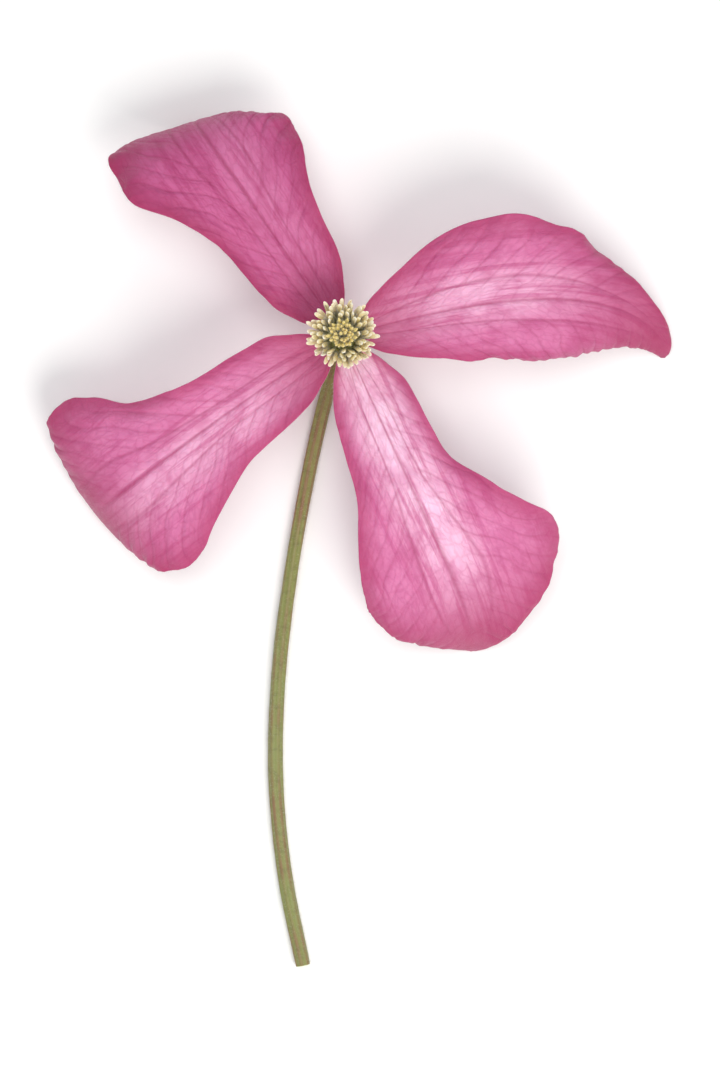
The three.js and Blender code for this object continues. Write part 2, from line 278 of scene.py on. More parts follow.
def paintOver(colour, layers):
    # layers of (share, colour), each blended over what lies under it
    for share, layer in layers:
        colour = blendColours(share, colour, layer)
    return colour


def stored(tree, *names):
    # the outputs of numbers stored at the mesh's points
    nodes = [newNode(tree, "ShaderNodeAttribute", attribute_name=name) for name in names]
    return [node.outputs["Fac"] for node in nodes]


def noise(at, scale, detail, roughness):
    # cloudy noise from 0 to 1; at is the place where it is read
    node = newNode(at.id_data, "ShaderNodeTexNoise", at)
    setInputs(node, {"Scale": scale, "Detail": detail, "Roughness": roughness})
    return node.outputs["Fac"]


def finishShader(shader, colour, height, look):
    # colour and bump linked to the shader, and the values that are the same all over
    node = newNode(shader.id_data, "ShaderNodeBump", *look["bump"])
    setInputs(node, {"Height": height})
    setInputs(shader, {"Base Color": colour, "Normal": node.outputs["Normal"], **look["shader"]})


# Lists of [station, value] run from the base (0) to the tip (1), in mm and degrees, as in the solid
# model; a wave is its height, count and phase. left is the counterclockwise half seen from above. The
# second and third lines are the colour's: brightness, whose differences between the tepals are painted
# light and shade, the pale bar's strength, half width in mm and place across, the darkness of the base,
# partly painted shade, where the bar fades, and where the tip's darker colour, partly painted shade,
# begins.
tepals = {
    "tepal_upper_left": {
        "heading": 124.5, "length": 35.2, "seed": 1,
        "tone": 0.835, "bar": 0.3, "barWidth": 4.0, "shift": -0.2, "clawAndShade": 0.7,
        "barFade": (0.62, 0.96), "shadedTipFrom": 0.62,
        "sweep": [[0, 0], [1, 0]], "roll": [[0, 0], [0.4, 2], [0.62, 12], [0.8, 17], [1, 17]],
        "pitch": [[0, 14], [0.3, 6], [0.5, -4], [0.64, -22], [0.75, -58], [0.85, -86], [1, -108]],
        "left": {
            "width": [[0, 1.7], [0.05, 3], [0.14, 4.6], [0.35, 5.4], [0.5, 7.6], [0.64, 10.4],
                      [0.78, 10.6], [0.9, 6.6], [1, 0.5]],
            "cup": [[0, 30], [0.4, 5], [0.7, -10], [1, -10]],
            "curl": [[0, 0], [0.4, -20], [0.75, -20], [1, 0]], "wave": (0.9, 2.5, 0.3),
        },
        "right": {
            "width": [[0, 1.7], [0.05, 3], [0.14, 4.6], [0.35, 6], [0.5, 8.2], [0.62, 9.3],
                      [0.72, 8.4], [0.84, 6], [0.94, 3], [1, 0.5]],
            "cup": [[0, 30], [0.4, 5], [0.7, -10], [1, -10]],
            "curl": [[0, 0], [0.4, -20], [0.75, -30], [1, 0]], "wave": (0.5, 2.3, 3.4),
        },
    },
    "tepal_right": {
        "heading": 15, "length": 40.2, "seed": 2,
        "tone": 0.98, "bar": 0.75, "barWidth": 4.4, "shift": 0.12, "clawAndShade": 0.6,
        "barFade": (0.38, 0.72), "shadedTipFrom": 0.42,
        "sweep": [[0, 0], [0.35, -7], [0.65, -24], [0.85, -54], [1, -104]],
        "roll": [[0, 0], [0.5, 2], [1, 4]],
        "pitch": [[0, 18], [0.3, 4], [0.6, -22], [0.82, -40], [0.93, -50], [1, -62]],
        "left": {
            "width": [[0, 1.7], [0.05, 3.3], [0.14, 5.6], [0.3, 8.8], [0.43, 9.4], [0.56, 7.8],
                      [0.7, 4.5], [0.85, 2], [0.95, 1.1], [1, 0.4]],
            "cup": [[0, 30], [0.4, 8], [0.7, -5], [1, -10]],
            "curl": [[0, 0], [0.4, -20], [0.75, -20], [1, 0]], "wave": (0.7, 2.6, 0.0),
        },
        "right": {
            "width": [[0, 1.7], [0.05, 3], [0.14, 4.4], [0.35, 6.4], [0.55, 8], [0.72, 7.4],
                      [0.86, 4.2], [0.95, 1.7], [1, 0.4]],
            "cup": [[0, 30], [0.3, 0], [0.7, -24], [1, -10]],
            "curl": [[0, 0], [0.3, -50], [0.65, -90], [1, -40]], "wave": (0.5, 2.2, 1.0),
        },
    },
    "tepal_lower_right": {
        "heading": -66, "length": 41.0, "seed": 3,
        "tone": 1.02, "bar": 1.1, "barWidth": 5.2, "shift": 0.06, "clawAndShade": 0.0,
        "barFade": (0.42, 0.88), "shadedTipFrom": 0.6,
        "sweep": [[0, 0], [0.5, 1], [0.8, -5], [1, -22]], "roll": [[0, 0], [1, 0]],
        "pitch": [[0, 24], [0.25, 9], [0.5, -12], [0.72, -35], [0.88, -55], [1, -76]],
        "left": {
            "width": [[0, 1.7], [0.05, 2.9], [0.14, 4.4], [0.34, 5], [0.48, 8.4], [0.66, 13],
                      [0.79, 10.4], [0.9, 5.2], [1, 0.5]],
            "cup": [[0, 30], [0.4, 14], [0.7, 0], [1, 0]],
            "curl": [[0, 0], [0.5, -20], [0.8, -24], [1, 0]], "wave": (1.0, 2.4, 0.0),
        },
        "right": {
            "width": [[0, 1.7], [0.05, 2.9], [0.14, 4.4], [0.35, 5.8], [0.53, 8.8], [0.7, 10.2],
                      [0.83, 8.4], [0.93, 4.8], [1, 0.5]],
            "cup": [[0, 30], [0.4, 8], [0.7, -4], [1, -10]],
            "curl": [[0, 0], [0.5, -20], [0.8, -30], [1, 0]], "wave": (0.6, 2.3, 1.4),
        },
    },
    "tepal_lower_left": {
        "heading": 213.0, "length": 37.6, "seed": 4,
        "tone": 0.995, "bar": 0.54, "barWidth": 4.4, "shift": 0.2, "clawAndShade": 0.75,
        "barFade": (0.62, 0.96), "shadedTipFrom": 0.62,
        "sweep": [[0, 0], [0.6, 4], [1, 6]], "roll": [[0, 0], [1, 0]],
        "pitch": [[0, 16], [0.3, 4], [0.57, -11], [0.74, -38], [0.88, -68], [1, -98]],
        "left": {
            "width": [[0, 1.7], [0.05, 2.9], [0.14, 4.5], [0.35, 5.6], [0.55, 8.6], [0.74, 10.9],
                      [0.86, 8.8], [0.95, 4.5], [1, 0.5]],
            "cup": [[0, 30], [0.4, 6], [0.7, -6], [1, -10]],
            "curl": [[0, 0], [0.5, -20], [0.8, -20], [1, 0]], "wave": (0.8, 2.5, 0.5),
        },
        "right": {
            "width": [[0, 1.7], [0.05, 2.9], [0.14, 4.5], [0.35, 5], [0.55, 7.2], [0.75, 12.2],
                      [0.87, 10.6], [0.95, 5.2], [1, 0.5]],
            "cup": [[0, 30], [0.4, 6], [0.7, -6], [1, -10]],
            "curl": [[0, 0], [0.5, -20], [0.8, -24], [1, 0]], "wave": (1.0, 2.2, 2.4),
        },
    },
}

blade = {
    "rows": 220, "columns": 136,  # steps from base to tip and from margin to margin
    "thickness": 0.36, "marginThickness": 0.18,
    "thinFrom": (0.86, 0.97),  # where the blade begins to thin, across and along
    "ribs": ((0.0, 0.34, 0.30), (0.29, 0.2, 0.26), (-0.29, 0.2, 0.26)),  # place, height, half width
    "sink": 0.42,  # depth of a groove in front, as a share of its rib's height
    "veinSpacing": 2.7, "veinWidth": 0.17, "veinSlant": 1.9, "veinHeight": 0.07,
    "veinStagger": 1.1,  # how far the two halves' side veins are out of step
    "wander": (0.9, 4.5, 3.0),  # how far they stray, the length of it along and across
    "fineVeins": 3,  # to each side vein
    "pillow": 0.13,  # height of the tissue that swells between the side veins
    "crepe": 0.09,  # height of its crinkles, coarse and fine:
    "crinkles": ((1.0, 1.25, 1.5, 4), (0.6, 0.62, 0.8, 6)),  # share, length along and across, seed
    "frills": ((0.42, 5.2, 4, 5), (0.1, 1.9, 6, 7)),  # height, length, power of the distance out, seed
    "ribSpan": (0.0, 0.05, 0.72, 0.99),  # stations where the ribs rise and fall,
    "reliefSpan": (0.04, 0.22, 0.9, 0.98),  # the veins and the tissue between them,
    "waveSpan": (0.15, 0.4, 0.8, 1.0),  # and the waves of the two halves
    "nibble": 0.012, "nibbleCount": 12,  # unevenness of the outline, as a share of the width
    "point": 0.45, "pointFrom": 0.98,  # narrowing of the last rows to a small point
    "neck": 0.18, "neckEnd": 0.06,  # narrowing at the base, and the station where it ends
    "gripEnd": 0.08,  # station where the base stops bending round the receptacle
    "marginHairs": 900, "backHairs": 2200, "hairLength": 0.34, "hairRadius": 0.011,
    "hairsFrom": 0.06,  # station where the margins' hairs begin
    "onRibs": 0.45,  # share of the back's hairs that stand on its ribs
    "hairSeed": 40,
}


def crossSection(half, station, x, seed):
    # slope = cup x + curl x^3; out and up are the running sums of its cosine and sine times width. The
    # wave is height times a sine of the station times x^2.5
    width = curveThrough(half["width"], station)
    width = width * (1 - blade["point"] * smoothStep(blade["pointFrom"], 1.0, station))
    width = width * (1 - blade["neck"] * (1 - smoothStep(0, blade["neckEnd"], station)))
    width = width[:, None]
    cup = np.radians(curveThrough(half["cup"], station))[:, None]
    curl = np.radians(curveThrough(half["curl"], station))[:, None]
    steps = len(x) - 1
    middle = (x[1:] + x[:-1]) / 2
    slope = cup * middle + curl * middle**3
    out = addUp(np.cos(slope) * width / steps, 1)
    up = addUp(np.sin(slope) * width / steps, 1)
    # the margin also moves in and out a little along its length
    uneven = blade["nibble"] * smoothStep(0.1, 0.3, station) * x[:, None] ** 3
    out = out * (1 + (uneven * bumps(station * blade["nibbleCount"], 0 * station, seed)).T)
    height, count, phase = half["wave"]
    fade = riseAndFall(station, *blade["waveSpan"])
    swell = height * fade * np.sin(2 * math.pi * count * station + phase)
    return out, up + swell[:, None] * x**2.5, width[:, 0]


def tepalDirections(tepal, station):
    # the midrib's direction, the direction across it and the one out of the blade's front
    heading = np.radians(tepal["heading"] + curveThrough(tepal["sweep"], station))
    rise = np.radians(curveThrough(tepal["pitch"], station))
    turn = np.radians(curveThrough(tepal["roll"], station))[:, None]
    ahead, level = compass(heading)
    along = ahead * np.cos(rise)[:, None] + [0, 0, 1] * np.sin(rise)[:, None]
    outward = np.cross(along, level)
    across = level * np.cos(turn) + outward * np.sin(turn)
    return along, across, np.cross(along, across)


def tepalSurface(tepal):
    # point(station, side) = midrib + across * out + front * up; the midrib adds up its directions
    rows, columns = blade["rows"], blade["columns"]
    station = np.linspace(0, 1, rows + 1)
    side = np.linspace(-1, 1, columns + 1)
    x = np.linspace(0, 1, columns // 2 + 1)
    stepAlong = tepalDirections(tepal, (station[1:] + station[:-1]) / 2)[0] * tepal["length"] / rows
    base = math.radians(tepal["heading"])
    away = np.array([math.cos(base), math.sin(base), 0.0])  # level, out of the flower's axis
    start = away * bloom["seatRadius"] + np.array([0.0, 0.0, bloom["seatHeight"]])
    midrib = start + addUp(stepAlong)
    _, across, front = tepalDirections(tepal, station)
    leftOut, leftUp, leftWidth = crossSection(tepal["left"], station, x, tepal["seed"])
    rightOut, rightUp, rightWidth = crossSection(tepal["right"], station, x, tepal["seed"] + 9)
    out = np.hstack([-rightOut[:, :0:-1], leftOut])
    up = np.hstack([rightUp[:, :0:-1], leftUp])
    points = midrib[:, None] + across[:, None] * out[..., None] + front[:, None] * up[..., None]
    # the base edge bends back round the receptacle: each of its points moves in to the grip's circle
    inward = bloom["seatRadius"] - np.sqrt(bloom["gripRadius"] ** 2 - out[0] ** 2)
    inward = inward[None] * (1 - smoothStep(0, blade["gripEnd"], station))[:, None]
    points -= inward[..., None] * away
    width = np.where(side[None] < 0, rightWidth[:, None], leftWidth[:, None])
    return *np.meshgrid(station, side, indexing="ij"), width, points


def tepalRelief(tepal, station, side, width):
    # ribs: height * exp(-(distance / half width)^2) of the distance across. Side veins: the same of
    # the distance from lines that run out and forward, where along - slant * across^0.8 is a whole
    # number of spacings. Between the lines the tissue swells by the size of a sine.
    seed = tepal["seed"] * 13.7
    far, half = np.abs(side), np.sign(side)  # half keeps the two halves' bumps apart
    alongMm, acrossMm = station * tepal["length"], far * width
    reach = riseAndFall(station, *blade["reliefSpan"], 0.85)
    ribs = np.zeros_like(station)
    for at, height, halfWidth in blade["ribs"]:
        ribs += height * np.exp(-(((side - at) * width) / halfWidth) ** 2)
    ribs = ribs * riseAndFall(station, *blade["ribSpan"])

    line = alongMm - blade["veinSlant"] * acrossMm**0.8 + np.where(side > 0, blade["veinStagger"], 0.0)
    stray, strayAlong, strayAcross = blade["wander"]
    line = line + stray * bumps(alongMm / strayAlong, side * width / strayAcross, seed)
    turn = math.pi * line / blade["veinSpacing"]
    gap = np.sin(turn) * blade["veinSpacing"] / math.pi
    outer = smoothStep(0.1, 0.34, far) * reach
    sideVeins = np.exp(-(gap / blade["veinWidth"]) ** 2) * outer * (1 - 0.55 * smoothStep(0.8, 1.0, far))
    bent = 2.2 * bumps(alongMm / 1.6, acrossMm / 1.2, seed + 2)
    fineGap = np.sin(blade["fineVeins"] * turn + bent) * 0.3
    fineVeins = np.exp(-(fineGap / 0.09) ** 2) * smoothStep(0.16, 0.5, far) * reach

    pillow = riseAndFall(far, 0.25, 0.7, 0.8, 1.0, 0.7) * reach
    pillow = blade["pillow"] * np.abs(np.sin(turn)) ** 0.8 * pillow
    crepe, frill = 0.0, 0.0
    for share, lengthAlong, lengthAcross, own in blade["crinkles"]:
        crepe = crepe + share * bumps(line / lengthAlong, acrossMm / lengthAcross + 7 * half, seed + own)
    crepe = blade["crepe"] * crepe * (0.2 + 0.8 * smoothStep(0.2, 0.85, far)) * reach
    for height, length, power, own in blade["frills"]:
        frill = frill + height * bumps(alongMm / length * 2, 3 * half, seed + own) * far**power
    swell = pillow + crepe + frill * reach
    return ribs, blade["veinHeight"] * sideVeins, swell, np.maximum(sideVeins, 0.5 * fineVeins)


def tepalHairs(tepal, front, back, normal):
    # short down along both margins, and thinner on the back's ribs and face
    dice = np.random.default_rng(blade["hairSeed"] + tepal["seed"])
    rows, columns = front.shape[:2]
    middle = (front + back) / 2
    count = blade["marginHairs"]
    row = dice.integers(int(rows * blade["hairsFrom"]), rows - 1, count)
    column = np.where(dice.random(count) < 0.5, 0, columns - 1)
    inner = np.where(column == 0, 3, columns - 4)  # a little way in from that margin
    outward = unit(middle[row, column] - middle[row, inner])
    forward = unit(middle[np.minimum(row + 1, rows - 1), column] - middle[row - 1, column])
    share = dice.random((count, 1))
    marginFeet = front[row, column] * share + back[row, column] * (1 - share)
    marginWays = unit(outward + 0.5 * forward + 0.5 * (dice.random((count, 3)) - 0.5))

    count = blade["backHairs"]
    row = dice.integers(4, rows - 3, count)
    spread = np.where(dice.random(count) < blade["onRibs"], 0.025, 0.5)
    rib = dice.choice([at for at, _, _ in blade["ribs"]], count)
    side = np.clip(rib + spread * (dice.random(count) * 2 - 1), -0.97, 0.97)
    column = np.round((side + 1) / 2 * (columns - 1)).astype(int)
    forward = unit(middle[row + 1, column] - middle[row - 1, column])
    backFeet = back[row, column]
    backWays = unit(-normal[row, column] + 0.9 * forward + 0.5 * (dice.random((count, 3)) - 0.5))

    feet, ways = np.concatenate([marginFeet, backFeet]), np.concatenate([marginWays, backWays])
    lengths = blade["hairLength"] * (0.5 + 0.7 * dice.random(len(feet)))
    return spikes(feet, ways, lengths, blade["hairRadius"], lowest=0.01)


def makeTepal(name, tepal, material):
    # front and back faces stand half a thickness off the middle surface along its normal
    station, side, width, points = tepalSurface(tepal)
    alongRows, alongColumns = np.gradient(points, axis=(0, 1))
    normal = unit(np.cross(alongRows, alongColumns))
    ribs, sideVeins, swell, veins = tepalRelief(tepal, station, side, width)
    thinAcross, thinAlong = blade["thinFrom"]
    edge = np.maximum(smoothStep(thinAcross, 1.0, np.abs(side)), smoothStep(thinAlong, 1.0, station))
    half = (blade["thickness"] * (1 - edge) + blade["marginThickness"] * edge) / 2
    front = points + normal * (swell + half - blade["sink"] * (ribs + sideVeins))[..., None]
    back = points + normal * (swell - half - ribs - sideVeins)[..., None]
    sheet = np.stack([front, back])
    sheet[..., 2] -= sheet[..., 2].min()  # the lowest point touches the surface
    rows, columns = station.shape
    count = rows * columns
    # the rim's points in order: right margin, tip, left margin, base
    grid = np.arange(count).reshape(rows, columns)
    rim = np.concatenate([grid[:, 0], grid[-1, 1:], grid[-2::-1, -1], grid[0, -2:0:-1]])
    following = np.roll(rim, -1)
    rimQuads = np.stack([rim, rim + count, following + count, following], -1)
    faces = [gridQuads(rows, columns), gridQuads(rows, columns, count)[:, ::-1], rimQuads]
    fields = {"across": side, "station": station, "width": width, "veins": veins}
    fields = {key: np.tile(values.ravel(), 2) for key, values in fields.items()}
    fields.update({"behind": np.repeat([0.0, 1.0], count), "hair": 0.0})
    hairPoints, hairFaces = tepalHairs(tepal, *sheet, normal)
    hairFields = {"across": 0.5, "station": 0.5, "width": 8.0, "veins": 0.0, "behind": 1.0, "hair": 1.0}
    parts = [(sheet.reshape(-1, 3), faces, fields), (hairPoints, hairFaces, hairFields)]
    makePiece(name + "_blade", parts, material, name)


tepalLook = {  # colours here and below are screen values from 0 to 255
    "bar": (250, 206, 231),  # the paler bar along the middle
    "flank": (213, 122, 168),
    "deep": (192, 86, 138),  # darker streaks
    "edge": (178, 66, 114),
    "clawAndShade": (168, 62, 104),
    "tip": (168, 54, 98),
    "vein": (166, 52, 102),
    "behindBar": (244, 222, 228),
    "behindFlank": (230, 172, 199),
    "behindEdge": (212, 124, 165),
    "behindRib": (224, 208, 186),
    "hair": (246, 232, 236),
    "streakStretch": 0.055,  # the streaks run with the length of the blade
    "netAcross": 1.25, "netAlong": 0.62,  # cells of the net to a mm
    "bump": (0.4, 0.00009),  # strength, height
    "shader": {
        "Subsurface Weight": 0.28, "Subsurface Radius": (1.0, 0.35, 0.5), "Subsurface Scale": 0.0008,
        "Sheen Weight": 0.12, "Sheen Roughness": 0.4, "Specular IOR Level": 0.35,
    },
}


def tepalMaterial(name, tepal):
    # patterns lie on the blade by its own mm across and along; the colours are laid one over another
    material, tree, shader = newMaterial(name)
    look = tepalLook
    across, station, width, veins = stored(tree, "across", "station", "width", "veins")
    behind, hair = stored(tree, "behind", "hair")
    far = mathNode("ABSOLUTE", across)
    acrossMm = product(across, width)
    alongMm = product(station, tepal["length"])
    at = joined(acrossMm, alongMm, tepal["seed"] * 5.0)
    stretched = scaled(at, (1.0, look["streakStretch"], 1.0))
    streak = noise(stretched, scale=1.2, detail=4, roughness=0.62)
    blotch = noise(at, scale=0.3, detail=3, roughness=0.6)
    grain = noise(at, scale=8.0, detail=3, roughness=0.62)

    # the fine net between the veins: edges of stretched cells, bent by noise
    bend = noise(at, scale=0.9, detail=2, roughness=0.5)
    bend = product(mathNode("SUBTRACT", bend, 0.5), 1.6)
    netX = mathNode("ADD", product(acrossMm, look["netAcross"]), bend)
    netY = mathNode("SUBTRACT", product(alongMm, look["netAlong"]), product(far, 5.0))
    netAt = joined(netX, netY, float(tepal["seed"]))
    cells = newNode(tree, "ShaderNodeTexVoronoi", netAt, feature="DISTANCE_TO_EDGE")
    setInputs(cells, {"Scale": 1.0})
    net = ramp(cells.outputs["Distance"], 0, 0.16, 1, 0)

    fromBar = product(distance(across, tepal["shift"]), width)
    bar = product(ramp(fromBar, 0.5, tepal["barWidth"], 1, 0),
                  ramp(station, *tepal["barFade"], 1, 0.15),
                  ramp(station, 0, 0.34, 1.0 - tepal["clawAndShade"], 1),
                  ramp(streak, 0.3, 0.66, 0.6, 1), tepal["bar"])
    fromSideRib = distance(far, blade["ribs"][1][0])
    grooves = mathNode("MAXIMUM", ramp(far, 0, 0.045, 0.55, 0),
                       ramp(fromSideRib, 0, 0.035, 0.4, 0))
    grooves = product(grooves, ramp(station, 0.7, 0.97, 1, 0))

    # front: a pale bar along the middle, deeper streaks, margins, and a darker base and tip, both partly
    # painted shade
    front = paintOver(look["flank"], [
        (mathNode("MINIMUM", bar, 1.0), look["bar"]),
        (ramp(streak, 0.46, 0.64, 0, 0.7), look["deep"]),
        (ramp(blotch, 0.45, 0.7, 0, 0.3), look["deep"]),
        (ramp(far, 0.58, 1, 0, 0.85), look["edge"]),
        # the tip's darker colour is partly painted shade, where the blade curves down away from the light
        (ramp(station, tepal["shadedTipFrom"], 0.95, 0, 0.9), look["tip"]),
        # the darker base is partly painted shade, where the stamens shade the tepal
        (ramp(station, 0, 0.3, tepal["clawAndShade"], 0), look["clawAndShade"]),
        (grooves, look["vein"]),
        (product(veins, 0.3), look["vein"]),
        (product(net, 0.16), look["vein"]),
    ])
    # back: nearly white between the outer ribs, pinker outside them
    back = paintOver(look["behindBar"], [
        (ramp(far, 0.2, 0.42), look["behindFlank"]),
        (ramp(streak, 0.44, 0.68, 0, 0.3), look["behindEdge"]),
        (ramp(far, 0.6, 1, 0, 0.85), look["behindEdge"]),
        (grooves, look["behindRib"]),
        (product(veins, 0.26), look["deep"]),
        (product(net, 0.1), look["deep"]),
    ])
    # a darker tepal is redder too: its green and blue are the shade to higher powers. The tone differs from
    # tepal to tepal as painted light and shade: lower on the tepals that face away from the key light
    shade = ramp(blotch, 0.25, 0.75, 1.03 * tepal["tone"], 0.95 * tepal["tone"])
    toned = joined(shade, mathNode("POWER", shade, 3.0), mathNode("POWER", shade, 1.8))
    colour = scaled(blendColours(behind, front, back), toned)
    colour = blendColours(product(hair, 0.85), colour, look["hair"])
    sunken = mathNode("ADD", product(net, 0.7), product(veins, 0.5))
    finishShader(shader, colour, mathNode("SUBTRACT", grain, sunken), look)
    setInputs(shader, {"Roughness": ramp(grain, 0.3, 0.7, 0.48, 0.64)})
    return material


for tepalName, tepal in tepals.items():
    makeTepal(tepalName, tepal, tepalMaterial(tepalName + "_skin", tepal))
    print(tepalName, "made")


def tubes(paths, sideways, wide, thick, sides, push=None):
    # point = path + wide cos(angle) side + thick sin(angle) up + push forward; a fan closes each end
    copies, rings = paths.shape[:2]
    tangent = unit(np.gradient(paths, axis=1))
    side = unit(sideways - tangent * (sideways * tangent).sum(-1, keepdims=True))
    up = np.cross(tangent, side)
    angle = np.linspace(0, 2 * math.pi, sides, endpoint=False)
    wide, thick = [v if v.ndim == 3 else v[..., None] for v in (wide, thick)]  # per point or per ring
    if push is not None:
        paths = paths + tangent * push[..., None]
    ring = (paths[:, :, None] + side[:, :, None] * (wide * np.cos(angle))[..., None]
            + up[:, :, None] * (thick * np.sin(angle))[..., None])
    points = np.concatenate([ring.reshape(copies, -1, 3), paths[:, :1], paths[:, -1:]], 1)
    count = rings * sides
    j = np.arange(sides)
    k = (j + 1) % sides
    startFan = np.stack([0 * j + count, k, j], -1)
    endFan = np.stack([0 * j + count + 1, count - sides + j, count - sides + k], -1)
    walls = gridQuads(rings, sides, closed=True)[:, ::-1]
    faces = [copyFaces(f, copies, count + 2) for f in (walls, startFan, endFan)]
    return points.reshape(-1, 3), faces


def perRing(values, sides):
    # numbers per ring as numbers per point of tubes, with those of the two ends
    spread = np.repeat(values, sides, axis=1)
    return np.concatenate([spread, values[:, :1], values[:, -1:]], 1).ravel()


def arcs(foot, height, azimuth, start, end, length, rings):
    # leaning arcs, and the share along at each ring: lean grows evenly from start to end, and the path
    # adds up its sine and cosine
    share = np.linspace(0, 1, rings)
    middle = (share[1:] + share[:-1]) / 2
    lean = start[:, None] + (end - start)[:, None] * middle
    piece = (length / (rings - 1))[:, None]
    out = foot[:, None] + addUp(np.sin(lean) * piece, 1)
    up = height + addUp(np.cos(lean) * piece, 1)
    points = np.stack([out * np.cos(azimuth)[:, None], out * np.sin(azimuth)[:, None], up], -1)
    return points, share + 0 * length[:, None]


stamen = {
    "count": 96, "innerRadius": 1.3, "outerRadius": 2.0, "seed": 11,
    "sunk": 0.15,  # depth of the feet in the receptacle
    "lean": (0, 12), "endLean": (0, 22),  # degrees at foot and tip, of the inner and outer ones
    "stray": (3, 8),  # degrees added at random to the two
    "length": (5.9, 5.4), "extra": 0.8,  # inner and outer, and what is added at random
    "scatter": 0.2, "sway": 0.7, "turn": 0.8,  # radians round the axis, mm sideways, radians of turn
    "filament": (0.24, 0.3), "filamentFlat": 0.4,  # half widths at foot and neck, thickness share
    "anther": 0.27, "antherFlat": 0.62, "antherLength": 2.6, "tip": 0.05,
    "groove": 0.6, "grooveWidth": 0.35,  # between the two pollen sacs
    "rings": 24, "sides": 14,
    "filamentColours": ((242, 240, 196), (253, 249, 232)),  # foot and neck
    "antherColours": ((250, 234, 184), (255, 247, 220)),
    "pollenColour": (226, 192, 112), "pollenScale": 5200.0,
    "bump": (0.45, 0.00006),
    "shader": {
        "Subsurface Weight": 0.6, "Subsurface Radius": (1.0, 0.9, 0.6), "Subsurface Scale": 0.0014,
        "Roughness": 0.7,
    },
}


def makeStamens(material):
    # golden-angle places. Section: half width cos(angle) by thickness sin(angle), pinched along its
    # middle in the anther so that two pollen sacs stand out
    dice = np.random.default_rng(stamen["seed"])
    count, sides = stamen["count"], stamen["sides"]
    outward = np.sqrt((np.arange(count) + 0.5) / count)
    azimuth = np.arange(count) * goldenAngle + stamen["scatter"] * (dice.random(count) - 0.5)
    foot = between((stamen["innerRadius"], stamen["outerRadius"]), outward)
    start = np.radians(between(stamen["lean"], outward) + stamen["stray"][0] * dice.random(count))
    end = np.radians(between(stamen["endLean"], outward) + stamen["stray"][1] * dice.random(count))
    length = between(stamen["length"], outward) + stamen["extra"] * dice.random(count)
    height = bloom["receptacleTop"] - stamen["sunk"]
    paths, share = arcs(foot, height, azimuth, start, end, length, stamen["rings"])
    radial, around = compass(azimuth)
    sway = stamen["sway"] * (dice.random(count) - 0.5)[:, None] * share**2
    paths = paths + around[:, None] * sway[..., None]
    neck = 1 - stamen["antherLength"] / length[:, None]
    inAnther = np.clip((share - neck) / (1 - neck), 0, 1)
    filament = between(stamen["filament"], np.clip(share / neck, 0, 1))
    anther = stamen["anther"] * np.sin(math.pi * (0.1 + 0.86 * inAnther)) ** 0.4
    blend = smoothStep(0, 0.1, inAnther)
    half = filament * (1 - blend) + anther * blend
    half[:, -1] = stamen["tip"]
    flat = stamen["filamentFlat"] * (1 - blend) + stamen["antherFlat"] * blend
    angle = np.linspace(0, 2 * math.pi, sides, endpoint=False)
    pinch = np.exp(-(np.cos(angle) / stamen["grooveWidth"]) ** 2)
    pinch = 1 - stamen["groove"] * blend[..., None] * pinch
    wide = half[..., None] + 0 * pinch
    thick = (half * flat)[..., None] * pinch
    turned = dice.random(count) * 2 * stamen["turn"] - stamen["turn"]
    sideways = around * np.cos(turned)[:, None] + radial * np.sin(turned)[:, None]
    points, faces = tubes(paths, sideways[:, None] + 0 * paths, wide, thick, sides)
    fields = {
        "along": perRing(share, sides),
        "inAnther": perRing(inAnther, sides),
        "tone": perRing(dice.random(count)[:, None] + 0 * share, sides),
    }
    makePiece("stamen_tuft", [(points, faces, fields)], material, "stamens")


def stamenMaterial():
    # greenish to cream filaments, cream anthers with grains of darker pollen
    material, tree, shader = newMaterial("stamen_cream")
    inAnther, tone, along = stored(tree, "inAnther", "tone", "along")
    filament = blendColours(ramp(along, 0.1, 0.6), *stamen["filamentColours"])
    anther = blendColours(tone, *stamen["antherColours"])
    where = newNode(tree, "ShaderNodeTexCoord").outputs["Object"]
    pollen = noise(where, stamen["pollenScale"], detail=2, roughness=0.6)
    grains = product(ramp(pollen, 0.52, 0.68, 0, 0.5), ramp(inAnther, 0.02, 0.14))
    colour = paintOver(filament, [
        (ramp(inAnther, 0, 0.1), anther),
        (grains, stamen["pollenColour"]),
    ])
    finishShader(shader, colour, pollen, stamen)
    return material


makeStamens(stamenMaterial())
print("stamens made")


style = {
    "count": 40, "spread": 0.85, "seed": 23, "sunk": 0.1, "firstAngle": 0.4,
    "length": (6.25, 5.7), "extra": 0.45, "lean": (0, 1), "endLean": (2, 15),  # as the stamens' own
    "stray": 12,  # degrees of chance in all at the tip
    "shaft": 0.16, "flat": 0.85,  # half width, thickness share
    "carpel": 0.24, "carpelAt": 0.1, "carpelLength": 0.08,
    "stigma": 0.22, "stigmaFrom": (0.66, 0.84), "stigmaPoint": 0.72,
    "rings": 26, "sides": 10,
    "hairs": 90, "hairLength": 0.7, "hairRadius": 0.014,
    "hairFoot": 0.13,  # from the style's middle, just inside its skin
    "colours": ((232, 214, 112), (255, 236, 152)),  # low down and high up
    "tipColour": (250, 196, 112),
    "mottleColour": (190, 178, 84), "mottleScale": 2600.0,
    "hairColour": (246, 242, 206),
    "bump": (0.4, 0.00005),
    "shader": {
        "Subsurface Weight": 0.6, "Subsurface Radius": (1.0, 0.95, 0.45), "Subsurface Scale": 0.0014,
        "Roughness": 0.55, "Sheen Weight": 0.3,
    },
}


